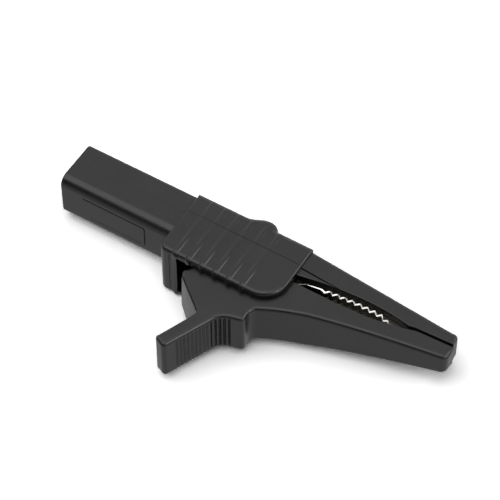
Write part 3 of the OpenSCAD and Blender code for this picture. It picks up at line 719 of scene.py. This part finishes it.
def groove_relief(points, normals):
    """Each groove is a rounded trough that stops short of the lever's upper rim and runs out below, deeper
    round the scoop."""
    ends = np.clip((GROOVE_TOP - points[:, 2]) / GROOVE_END, 0, 1) * (np.abs(normals[:, 2]) < 0.9)
    for centres, depth, reach in zip(groove_centres(), GROOVE_DEPTHS, GROOVE_REACHES):
        near = nearest(points[:, :2], centres)
        trough = depth * np.cos(np.clip(near / reach, 0, 1) * np.pi / 2) ** 1.6
        points = points - normals * (trough * ends)[:, None]
    return points


def trigger_edge(points, out):
    """Edge radius of the trigger: soft along the jaw and the lever, crisp at the mouth and the rear."""
    lever_y, crisp, lever_r, soft = -15, 0.25, 0.95, 1.0
    lever = points[:, 1] < lever_y
    mouth = (out[:, 1] > 0.5) & (points[:, 0] > FRONT_X)
    rear = (out[:, 0] < -0.3) & (out[:, 1] < -0.3) & (points[:, 1] > FIN_ROOT[1])
    return np.where(mouth | rear, crisp, np.where(lever, lever_r, soft))


def trigger_solid():
    """The trigger before it is hollowed: a plate with points close together where the grooves run and end."""
    loop = counter_clockwise(dense(trigger_loop(), 0.3))
    fine = dense(loop, 0.09)
    loop = fine[(nearest(fine, np.vstack(groove_centres())) < 1.5) | (nearest(fine, loop) < 1e-6)]
    rings = np.array([0.94, 0.9, 0.87, 0.8, 0.4])
    half = taper(TRIGGER_HALF, MOVING_TIP_HALF, FRONT_X + 8)
    return plate("trigger_moulding", loop, half, trigger_edge, relief=groove_relief, turn=7,
                 heights=(*rings, 0.0, *-rings[::-1]))


def rear_core():
    """The rear wall's core between the trigger's two flank plates: flush at the upper one, and leaning out
    towards the lower one."""
    half, stand, lean_out = TRIGGER_HALF - 1, 0.35, 1.1
    start, end = REAR_CORNER + 1.2 * REAR_ALONG, FIN_ROOT + 1.5 * REAR_ALONG
    tip = end + FIN_DIR * stand / (FIN_DIR @ REAR_OUT)
    loop = rounded(with_radius((start + stand * REAR_OUT, tip, end - REAR_OUT, start - REAR_OUT), 0.25))

    def lean(points, normals):
        way = (points[:, :2] - start) @ REAR_ALONG / np.linalg.norm(end - start)
        push = np.clip((points[:, :2] - start) @ REAR_OUT / stand, 0, 1) * np.clip(0.3 + way, 0, 1)
        down = (half - points[:, 2]) / (2 * half)
        return points + np.append(REAR_OUT, 0) * (push * lean_out * down)[:, None]

    return plate("rear_core", dense(loop, 0.3), half, 0.15, relief=lean, heights=(0.5, 0.0, -0.5))


def rear_lines():
    """The fine lines between the rear wall's core and the upper and lower flank plates."""
    line_half, inset, depth, past = 0.22, 0.9, 0.5, 2
    a, b = REAR_CORNER + 0.3 * REAR_ALONG, FIN_ROOT - 0.4 * REAR_ALONG
    strip = np.array([a + past * REAR_OUT, b + past * REAR_OUT, b - depth * REAR_OUT, a - depth * REAR_OUT])
    return [plate("rear_line", strip, line_half, mid=side * (TRIGGER_HALF - inset)) for side in (1, -1)]


def floor_stakes():
    """Where the moving contact's stakes stand on the channel's floor, and the floor's slope there."""
    parts = 100
    floor = bezier(FLOOR_CURVE, parts + 1)
    at = (parts * MOVING_STAKE_PLACES).astype(int)
    step = floor[at + 1] - floor[at]
    return list(zip(floor[at], np.arctan2(step[:, 1], step[:, 0])))


def trigger_shell():
    """The trigger's moulding: plate and rear core, hollowed down to the channel's floor."""
    floor = bezier(FLOOR_CURVE)
    under_pivot = [PIVOT + (0.5, -9), PIVOT + (-7.5, -11.2), LEDGE + (5.7, 0), LEDGE, PIVOT + (-12, -1)]
    room = np.vstack([[(TIP_X, FAR)], floor[::-1], under_pivot, [(PIVOT[0] - 12, FAR)]])
    room_width = prism("room_width", channel_loop(0.0, CHANNEL_END), 80.0, BACK)
    room_cut = carve(prism("room", room, PAST), ("INTERSECT", room_width))
    stakes = [stake(place, slope, 1) for place, slope in floor_stakes()]
    return carve(trigger_solid(), ("UNION", rear_core()), *cut(rear_lines()), ("DIFFERENCE", room_cut),
                 ("DIFFERENCE", pin_hole(PIN_PLAY, 64)), *join(stakes))


# Contacts

def row_tips(x):
    """Height of the tooth tips: a parabola round its crest, less a slope that dips into the moving jaw and
    then rises a little."""
    arch = ROW_TOP - ROW_BEND * (np.minimum(x, ARCH_END) - ROW_CREST) ** 2
    fall = -DIP_SLOPE * np.maximum(x - DIP_START, 0)
    return arch + np.maximum(fall, -DIP_DEPTH + DIP_RISE * np.maximum(x - DIP_END, 0))


def tooth_row(drop):
    """A zigzag of teeth at an even pitch between the tips' line and a depth above it, after a plain lead."""
    k = np.arange(1, 2 * TOOTH_COUNT)
    x = FIRST_TOOTH + TOOTH_PITCH * k / 2
    first = row_tips(FIRST_TOOTH)
    lead = [(FIRST_TOOTH - ROW_LEAD, first + 0.05), (FIRST_TOOTH - 0.35, first + 0.7)]
    teeth = np.c_[x, row_tips(x) + TOOTH_DEPTH * ((k + 1) % 2)]
    return np.vstack([lead, teeth]) - (0, drop)


def tooth_bevel(side):
    """What coining takes off the teeth: the space below the zigzag, raised as it goes out through the
    sheet's outer face, so that the tooth edge becomes a narrow slope."""
    row, below = tooth_row(0), -20
    end = row[-1, 0] + 1
    loop = np.vstack([row, [(end, row[-1, 1]), (end, below), (row[0, 0], below)]])
    face = wall_mid(FIXED_EAR_OUT, FIXED_TIP_OUT, 1)(loop[:, 0]) + SHEET / 2
    step = np.array([-BEVEL_DEPTH, BEVEL_DEPTH])[:, None]
    rise = (step + BEVEL_DEPTH) * BEVEL_RISE / BEVEL_DEPTH
    points = np.stack([loop[:, 0] + 0 * step, loop[:, 1] + rise, side * (face + step)], 2).reshape(-1, 3)
    return solid("tooth_bevel", points, capped_faces(2, len(loop)))


def web_y(x):
    """Outer face of the fixed contact's web, a gap below the channel's roof."""
    return jaw_back(np.maximum(x, WEB_BEND)) - JAW_WALL - SEAT_GAP


def wall_mid(out, tip_out, side):
    """The middle of a contact's side wall: parallel beside the pivot, then drawn in towards the tip."""
    return lambda x: side * (out - SHEET / 2 + (tip_out - out) * np.clip((x - FRONT_X) / JAW_LEN, 0, 1))


def sheet(name, loop, step, mid, **shape):
    """A plate as thick as the contacts' sheet, with its edges just broken."""
    return plate(name, dense(loop, step), SHEET / 2, SHEET_R, mid, turn=3, **shape)


def contact_walls(loop, ear_out, tip_out):
    """A contact's two side walls, each a sheet with the outline of its teeth and its ear."""
    return [sheet("wall", loop, 1.0, wall_mid(ear_out, tip_out, side)) for side in (1, -1)]


def mark_painted_highlight(contact):
    """Marks the sloping faces of the tooth bevel that face the jaw side, on which the material paints a
    bright highlight.
    """
    normal = np.empty(3 * len(contact.data.polygons), np.float32)
    contact.data.polygons.foreach_get("normal", normal)
    down, across = normal.reshape(-1, 3)[:, 1], np.abs(normal.reshape(-1, 3)[:, 2])
    painted_highlight = (down < -0.1) & (across > 0.4) & (across < 0.95)
    mark = contact.data.attributes.new("painted_highlight", "FLOAT", "FACE")
    mark.data.foreach_set("value", painted_highlight.astype(np.float32))


def fixed_contact():
    """Fixed contact, of one sheet: a web under the roof, two toothed walls with ears, a tab at the socket."""
    x1 = CONTACT_END
    root, tip = web_y(WEB_BEND), web_y(x1)
    loop = rounded([(x1, tip - 0.02), (x1, closure(x1) + LIP_GAP + SEAT_GAP, 0.1),
                    *with_radius(tooth_row(0)[::-1], TOOTH_R), *arc(PIVOT, EAR_R, 20, -180, 48),
                    (PIVOT[0] - EAR_R, root - 0.02)], 5)
    walls = contact_walls(loop, FIXED_EAR_OUT, FIXED_TIP_OUT)
    tail_x = HEEL_X + 1.6
    half_end = taper(FIXED_EAR_OUT, FIXED_TIP_OUT)(x1)
    side = [(TAB_X, TAB_HALF, 0.3), (tail_x, TAB_HALF, 1), (tail_x + 3, FIXED_EAR_OUT, 1),
            (FRONT_X, FIXED_EAR_OUT), (x1, half_end, 0.3)]
    web = sheet("fixed_contact_sheet", both_sides(side), 1.0, lambda x: web_y(x) - SHEET / 2, axes=BACK)
    tab_loop = both_sides([(-TAB_HALF, -TAB_HALF, 1), (root, -TAB_HALF)], 8)
    tab = sheet("tab", tab_loop, 1.0, TAB_X + SHEET / 2, axes=(1, 2, 0))
    holes = [pin_hole(PRESS_GAP), drill("stud_hole", 30, 36, STUD_R + 0.1)]
    holes += [stake_hole((x, web_y(x)), BACK_SLOPE) for x in STAKE_X]
    holes += [tooth_bevel(1), tooth_bevel(-1)]
    contact = carve(web, *join(walls + [tab]), *cut(holes))
    # The bevel faces that face the jaw side are marked for a painted highlight.
    mark_painted_highlight(contact)
    return contact


def moving_contact():
    """Moving contact, of one sheet: a web along the floor and two walls with ears and teeth above it."""
    x1, root_up, tip_up = CONTACT_END, 1.0, 0.6
    floor = bezier(FLOOR_CURVE, 200) + (0, SEAT_GAP)
    floor_y = lambda x: np.interp(x, floor[:, 0], floor[:, 1])
    xs = np.linspace(floor[0, 0], x1, 60)
    base = np.c_[xs, floor_y(xs) + 0.02]
    row = tooth_row(TOOTH_GAP)
    least = tip_up + (root_up - tip_up) * (np.arange(len(row)) % 2)
    row[:, 1] = np.maximum(row[:, 1], floor_y(row[:, 0]) + least)
    loop = rounded([*base, (x1, closure(x1) - TOOTH_GAP, 0.1), *with_radius(row[::-1], TOOTH_R),
                    *arc(PIVOT, EAR_R, 55, 290, 60)], 5)
    walls = contact_walls(loop, MOVING_EAR_OUT, MOVING_TIP_OUT)
    half_end = taper(MOVING_EAR_OUT, MOVING_TIP_OUT)(x1)
    side = [(floor[0, 0], MOVING_EAR_OUT, 0.3), (FRONT_X, MOVING_EAR_OUT), (x1, half_end, 0.3)]
    web = sheet("moving_contact_sheet", both_sides(side), 0.6, lambda x: floor_y(x) + SHEET / 2, axes=BACK,
                grid=(np.arange(FRONT_X, x1, 0.6), np.array([-2.0, 0, 2.0])))
    holes = [pin_hole(PIN_PLAY)]
    holes += [stake_hole(place + (0, SEAT_GAP), slope) for place, slope in floor_stakes()]
    return carve(web, *join(walls), *cut(holes))


# Spring, socket and liner

def spring_solid():
    """Torsion spring: a round wire carried along one leg, the turns of a helix and the other leg. Each leg
    leaves the coil along its tangent."""
    sides, end_share = 20, 0.55
    end_a = np.array([-12.0, 9.87])
    end_b = LEDGE + (2, 0.5) - PIVOT
    touch = lambda e, side: math.atan2(e[1], e[0]) + side * math.acos(COIL_R / math.hypot(*e))
    a, b = touch(end_a, -1), touch(end_b, 1) - 2 * math.pi * (COIL_TURNS + 1)
    t = np.linspace(0, 1, 161)
    w = a + (b - a) * t
    helix = np.c_[COIL_R * np.cos(w), COIL_R * np.sin(w), COIL_HALF * (1 - 2 * t)]
    leg = np.linspace(0, 1, 24)[:, None]
    first = np.append(end_a, COIL_HALF) * (1 - leg) + helix[0] * leg
    last = helix[-1] * (1 - leg) + np.append(end_b, -COIL_HALF) * leg
    path = np.vstack([first[:-1], helix, last[1:]])
    along = unit(np.gradient(path, axis=0))
    side = unit(np.cross(along, (0.0, 0.0, 1.0)))
    up = np.cross(side, along)
    q = np.linspace(0, 2 * np.pi, sides, endpoint=False)[None, :, None]
    r = np.full((len(path), 1, 1), WIRE_R)
    r[[0, -1]] = end_share * WIRE_R
    rings = path[:, None] + r * (side[:, None] * np.cos(q) + up[:, None] * np.sin(q))
    points = rings.reshape(-1, 3) + np.append(PIVOT, 0)
    return solid("spring_wire", points, capped_faces(len(path), sides))


def turned(name, points, sides=96):
    """A turned piece whose profile's edges are broken by a small radius, apart from points on the axis."""
    broken = 0.12
    corners = [p if len(p) > 2 else (*p, broken if p[1] > 0 else 0) for p in points]
    return lathe(name, rounded(corners, 5), sides)


def liner_solid():
    """Liner, turned: a sleeve with the shroud's recess, a floor round the socket, and a collar."""
    r, collar_r, end, hole_r = BORE_R - FIT, COLLAR_R - FIT, COLLAR_END - FIT, NECK_R + PRESS_GAP
    return turned("liner_sleeve", [
        (BORE_LEAD, RECESS_R, 0.35), (BORE_LEAD, r, 0.2), (COLLAR_X + FIT, r), (COLLAR_X + FIT, collar_r),
        (end, collar_r), (end, hole_r), (RECESS_END, hole_r), (RECESS_END, RECESS_R, 0.5)], 120)


def socket_solid():
    """Socket, turned: a sleeve with a drilled bore, a neck in the liner's floor and a stud."""
    neck_end, drill_point = COLLAR_END - FIT, 2.0
    return turned("socket_sleeve", [
        (SOCKET_RECESS, SOCKET_BORE_R, 0.25), (SOCKET_RECESS, SOCKET_R, 0.2), (RECESS_END, SOCKET_R),
        (RECESS_END, NECK_R), (neck_end, NECK_R), (neck_end, STUD_R), (STUD_END - STUD_CHAMFER, STUD_R, 0.3),
        (STUD_END, STUD_R - STUD_CHAMFER), (STUD_END, 0), (SOCKET_BORE_END + drill_point, 0),
        (SOCKET_BORE_END, SOCKET_BORE_R)])


def guard_solid():
    """Guard, turned: a ring on the socket's mouth, round at its front."""
    return turned("guard_ring", [(GUARD_X, GUARD_BORE_R, 0.3), (GUARD_X, SOCKET_R, 0.4),
                                 (SOCKET_RECESS, SOCKET_R), (SOCKET_RECESS, GUARD_BORE_R)])


# Materials

def linear(hex_colour):
    """sRGB hex to a linear colour."""
    c = np.array([int(hex_colour[i:i + 2], 16) for i in (1, 3, 5)]) / 255
    return (*np.where(c <= 0.04045, c / 12.92, ((c + 0.055) / 1.055) ** 2.4).tolist(), 1.0)


def add(tree, kind, settings=None, **inputs):
    """Adds a shader node with its settings. An input is a value, or what it is linked to: an output
    socket, or a node, which stands for its first one."""
    node = tree.nodes.new("ShaderNode" + kind)
    for name, value in (settings or {}).items():
        setattr(node, name, value)
    for name, value in inputs.items():
        socket = node.inputs[int(name[1:])] if name[1:].isdigit() else node.inputs[name.replace("_", " ")]
        source = value.outputs[0] if isinstance(value, bpy.types.Node) else value
        if isinstance(source, bpy.types.NodeSocket):
            tree.links.new(source, socket)
        else:
            socket.default_value = source
    return node


def new_material(name):
    material = bpy.data.materials.new(name)
    material.use_nodes = True
    material.node_tree.nodes.clear()
    return material, material.node_tree


def finish_material(tree, shader):
    add(tree, "OutputMaterial", Surface=shader)


def per_mm(size):
    """Texture scale at which a pattern repeats about every size millimetres."""
    return 1 / (size * MM)


def finish_surface(tree, gloss_by, low, high, bump_by, depth_mm, strength, **inputs):
    """The end of a surface: roughness from low to high after one pattern, a fine bump after another."""
    gloss = add(tree, "MapRange", Value=gloss_by, From_Min=0.3, From_Max=0.7, To_Min=low, To_Max=high)
    bump = add(tree, "Bump", Strength=strength, Distance=depth_mm * MM, Height=bump_by)
    finish_material(tree, add(tree, "BsdfPrincipled", Roughness=gloss, Normal=bump, **inputs))


def moulded_nylon(name, tone, worn, rough):
    """Moulded plastic, black glass-filled polyamide on the shells: a satin skin that takes its grey from
    what it mirrors, with a fine even grain, and faint flow clouds in the gloss and in a worn tone."""
    grain_mm, cloud_mm, gloss_swing, grain_depth = 0.35, 9.0, 0.05, 0.012
    material, tree = new_material(name)
    place = add(tree, "TexCoord").outputs["Object"]
    grain = add(tree, "TexNoise", Vector=place, Scale=per_mm(grain_mm), Detail=3.0, Roughness=0.6)
    cloud = add(tree, "TexNoise", Vector=place, Scale=per_mm(cloud_mm), Detail=3.0, Roughness=0.55)
    shade = add(tree, "MixRGB", Fac=cloud, Color1=linear(tone), Color2=linear(worn))
    finish_surface(tree, cloud, rough - gloss_swing, rough + gloss_swing, grain, grain_depth, 0.25,
                   Base_Color=shade, IOR=1.5)
    return material


def plated_metal(name, tone, shade_tone, rough, streak_mm, painted_highlight_tone=None):
    """Plated or drawn metal: a mirror broken by fine drawing lines along the clip and a slight clouding of
    the plating. Where the mesh is marked, a near-white painted highlight tone takes the place of the metal's
    tone."""
    streak_stretch, cloud_mm, streak_depth = 0.06, 4.0, 0.006
    material, tree = new_material(name)
    place = add(tree, "TexCoord").outputs["Object"]
    lines = add(tree, "Mapping", Vector=place, Scale=(streak_stretch, 1.0, 1.0))
    drawn = add(tree, "TexNoise", Vector=lines, Scale=per_mm(streak_mm), Detail=2.0)
    cloud = add(tree, "TexNoise", Vector=place, Scale=per_mm(cloud_mm), Detail=3.0)
    colour = add(tree, "MixRGB", Fac=cloud, Color1=linear(tone), Color2=linear(shade_tone))
    if painted_highlight_tone:
        painted_highlight = add(tree, "Attribute", {"attribute_name": "painted_highlight"})
        colour = add(tree, "MixRGB", Fac=painted_highlight.outputs["Fac"], Color1=colour, Color2=linear(painted_highlight_tone))
    finish_surface(tree, drawn, rough * 0.8, rough * 1.25, drawn, streak_depth, 0.2, Base_Color=colour,
                   Metallic=1.0)
    return material


shell_black = moulded_nylon("moulded_black_nylon", "#090909", "#0e0e0d", 0.3)
liner_black = moulded_nylon("turned_black_acetal", "#101010", "#171717", 0.28)
spool_white = moulded_nylon("moulded_natural_acetal", "#dcdad2", "#e6e4dc", 0.4)
# Contact sheet: its dark tone is painted shade for the inside of the mouth, and the marked bevel faces take a
# painted highlight.
nickel = plated_metal("nickel_sheet_painted_shade_and_highlight", "#6f6d69", "#625f5b", 0.26, 0.12, "#f6f4f0")
socket_nickel = plated_metal("nickel_plated_turned_brass", "#d2cdc2", "#c3bdb0", 0.14, 0.1)
bright_steel = plated_metal("bright_drawn_steel", "#b9b9ba", "#a6a6a8", 0.22, 0.1)


# Pieces

def piece(obj, body, node, material, smooth_angle=32):
    """Sets a finished piece into the frame in metres, shades it smooth up to real edges, ties it to its
    body if it has one, and hides the CAD node it stands in for."""
    mesh = obj.data
    move_vertices(mesh, lambda p: (p - (SOCKET_RECESS, 0, 0)) * MM)
    mesh.materials.clear()
    mesh.materials.append(material)
    mesh.polygons.foreach_set("material_index", np.zeros(len(mesh.polygons), np.int32))
    mesh.polygons.foreach_set("use_smooth", np.ones(len(mesh.polygons), bool))
    mesh.set_sharp_from_angle(angle=math.radians(smooth_angle))
    mesh.update()
    weighted = obj.modifiers.new("flat_faces", "WEIGHTED_NORMAL")
    weighted.keep_sharp = True
    if body:
        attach(obj, body)
    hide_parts(node)
    return obj


spine, cheeks = body_shells()
piece(spine, "clip_body", "spine_shell", shell_black)
piece(cheeks, "clip_body", "cheek_shell", shell_black)
piece(trigger_shell(), "trigger", "trigger_jaw", shell_black)
piece(fixed_contact(), "clip_body", "fixed_jaw_contact", nickel)
piece(moving_contact(), "trigger", "moving_jaw_contact", nickel)
piece(liner_solid(), "clip_body", "socket_liner", liner_black)
piece(socket_solid(), "clip_body", "plug_socket", socket_nickel)
piece(guard_solid(), "clip_body", "socket_guard", liner_black)
spring = piece(spring_solid(), None, "torsion_spring", bright_steel)
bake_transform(spring)

for name, material in (("lock_washer", bright_steel), ("socket_nut", socket_nickel),
                       ("pivot_pin", bright_steel), ("pivot_spool", spool_white),
                       ("contact_washers", nickel)):
    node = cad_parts[name]
    node.data.materials.clear()
    node.data.materials.append(material)


# Floor, light and camera, in metres

WHITE = (1.0, 1.0, 1.0, 1.0)
FLOOR_Z = -9.5 * MM
FLOOR_HALF = 4.0
FLOOR_CELLS = 16
PAPER_EXPOSED = 1.6
PAPER_MIRRORED = 0.6
PAPER_EVEN_SHARE = 0.85
SURROUND = 0.14
SET_CENTRE = (0.05, 0.0, 0.0)


def stage_piece(name, points, faces, material):
    """A mesh object of the set, which is no part of the clip."""
    mesh = bpy.data.meshes.new(name)
    mesh.from_pydata(points, [], faces)
    mesh.materials.append(material)
    obj = new_object(name, mesh)
    return obj


def paper_sweep():
    """White paper, matt and even: the camera sees it exposed until it is white, with the part's shadow left
    on it; mirrors see it nearly even."""
    material, tree = new_material("white_paper_sweep")
    rays = add(tree, "LightPath")
    shown = add(tree, "MixRGB", Fac=rays.outputs["Is Camera Ray"], Color1=linear("#f8f8f8"),
                Color2=(*[PAPER_EXPOSED] * 3, 1))
    lit = add(tree, "BsdfDiffuse", Color=shown)
    even = add(tree, "Emission", Color=WHITE, Strength=PAPER_MIRRORED)
    mirrored = add(tree, "Math", {"operation": "MULTIPLY"}, _0=rays.outputs["Is Glossy Ray"],
                   _1=PAPER_EVEN_SHARE)
    finish_material(tree, add(tree, "MixShader", Fac=mirrored, _1=lit, _2=even))
    return material


def studio_floor():
    """A pale sweep of paper: a flat grid of points at the height on which the clip lies."""
    line = np.linspace(-FLOOR_HALF, FLOOR_HALF, FLOOR_CELLS + 1)
    x, y = np.meshgrid(line, line)
    points = np.stack([x, y, np.full_like(x, FLOOR_Z)], 2).reshape(-1, 3)
    j, i = np.meshgrid(np.arange(FLOOR_CELLS), np.arange(FLOOR_CELLS), indexing="ij")
    first = j * (FLOOR_CELLS + 1) + i
    above = first + FLOOR_CELLS + 1
    faces = np.stack([first, first + 1, above + 1, above], -1).reshape(-1, 4)
    stage_piece("studio_floor", points.tolist(), faces.tolist(), paper_sweep())


def studio_world():
    """White surroundings: what the camera, mirrors and clear pieces see is plain white."""
    world = bpy.data.worlds.new("white_studio")
    scene.world = world
    world.use_nodes = True
    tree = world.node_tree
    tree.nodes.clear()
    rays = add(tree, "LightPath")
    seen = add(tree, "Math", {"operation": "ADD"}, _0=rays.outputs["Is Camera Ray"],
               _1=rays.outputs["Is Glossy Ray"])
    seen = add(tree, "Math", {"operation": "ADD", "use_clamp": True}, _0=seen,
               _1=rays.outputs["Is Transmission Ray"])
    soft = add(tree, "Background", Color=WHITE, Strength=SURROUND)
    white = add(tree, "Background", Color=WHITE, Strength=1.0)
    mix = add(tree, "MixShader", Fac=seen, _1=soft, _2=white)
    add(tree, "OutputWorld", Surface=mix)


def aimed(name, data, place, direction):
    """A lamp or camera at a place, turned to look in a direction."""
    obj = new_object(name, data)
    obj.location = place
    obj.rotation_euler = direction.to_track_quat("-Z", "Y").to_euler()
    return obj


def lamp(name, place, size, power):
    """A round soft lamp that faces the middle of the set."""
    data = bpy.data.lights.new(name, "AREA")
    data.shape, data.size, data.energy = "DISK", size, power
    return aimed(name, data, place, Vector(SET_CENTRE) - Vector(place))


def dark_card():
    """A grey card in front of the set: the rounded edges mirror it as the darker line below their
    highlight. The camera does not see it."""
    left, right, front, top = -1.2, 0.9, -0.62, 0.66
    material, tree = new_material("grey_card")
    finish_material(tree, add(tree, "BsdfDiffuse", Color=linear("#8c8c8c")))
    points = [(left, front, 0.0), (right, front, 0.0), (right, front, top), (left, front, top)]
    stage_piece("dark_card", points, [(0, 1, 2, 3)], material).visible_camera = False


def photo_camera():
    """The photograph's view: long lens from above the jaw side."""
    azimuth, elevation, distance = math.radians(31.52), math.radians(52.96), 0.6412
    target = Vector((0.0508, 0.0038, 0.0))
    level = math.cos(elevation)
    away = Vector((math.sin(azimuth) * level, -math.cos(azimuth) * level, math.sin(elevation)))
    data = bpy.data.cameras.new("photo_camera")
    data.lens, data.sensor_width, data.clip_start = 172.8, 36.0, 0.01
    scene.camera = aimed("photo_camera", data, target + away * distance, -away)


studio_floor()
studio_world()
dark_card()
# The overhead softbox lights the set at full power, and the rounded edges mirror it dimmed, as through a
# polariser. The strip at the right shows in the edges alone.
lamp("overhead_softbox", (-0.067, -0.245, 0.86), 1.2, 7.2).visible_glossy = False
lamp("overhead_softbox_mirrored", (-0.065, -0.238, 0.835), 1.17, 3.6).visible_diffuse = False
lamp("right_softbox", (0.66, 0.43, 0.40), 0.4, 1.2)
lamp("right_strip_mirrored", (0.90, -0.04, 0.46), 0.45, 2.5).visible_diffuse = False
photo_camera()
scene.view_settings.view_transform = "Standard"
